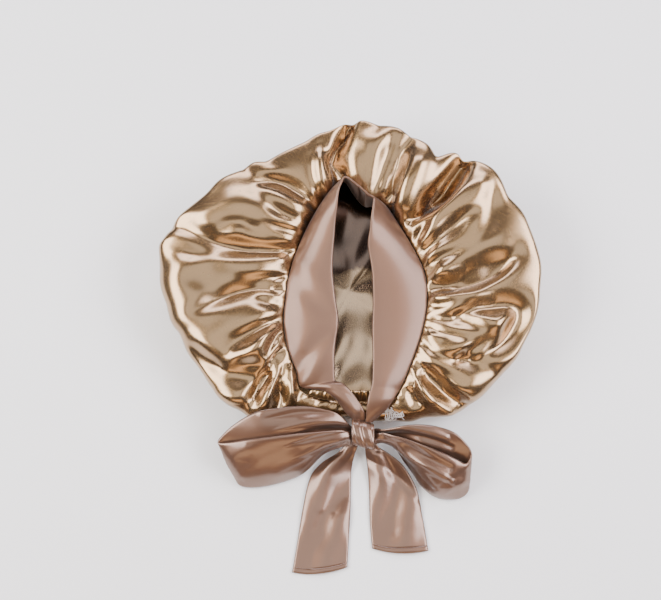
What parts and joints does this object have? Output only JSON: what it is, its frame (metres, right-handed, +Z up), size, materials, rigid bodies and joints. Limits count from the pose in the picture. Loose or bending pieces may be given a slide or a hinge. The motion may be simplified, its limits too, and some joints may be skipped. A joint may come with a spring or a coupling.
{
  "type": "satin sleep bonnet with tie band and bow",
  "caption": "Gathered satin sleep bonnet lying on its crown with the opening up, a wide band round the face side and its ends knotted in a bow at the nape.",
  "frame": {"origin": "middle of the outline on the surface that the bonnet lies on", "axes": "+Z up out of the opening, +Y from the nape and bow to the forehead, +X to the right seen from the bow"},
  "size_m": [0.3798, 0.4468, 0.0851],
  "materials": {
    "crown_satin": "glossy champagne satin",
    "band_satin": "rose taupe satin, a little duller"
  },
  "bodies": {
    "root": {"crown": "crown_satin", "crown_base": "crown_satin", "band": "band_satin", "nape_casing": "crown_satin", "bow_knot": "band_satin", "bow_loop_left": "band_satin", "bow_loop_right": "band_satin", "bow_tail_left": "band_satin", "bow_tail_right": "band_satin"}
  },
  "joints": []
}
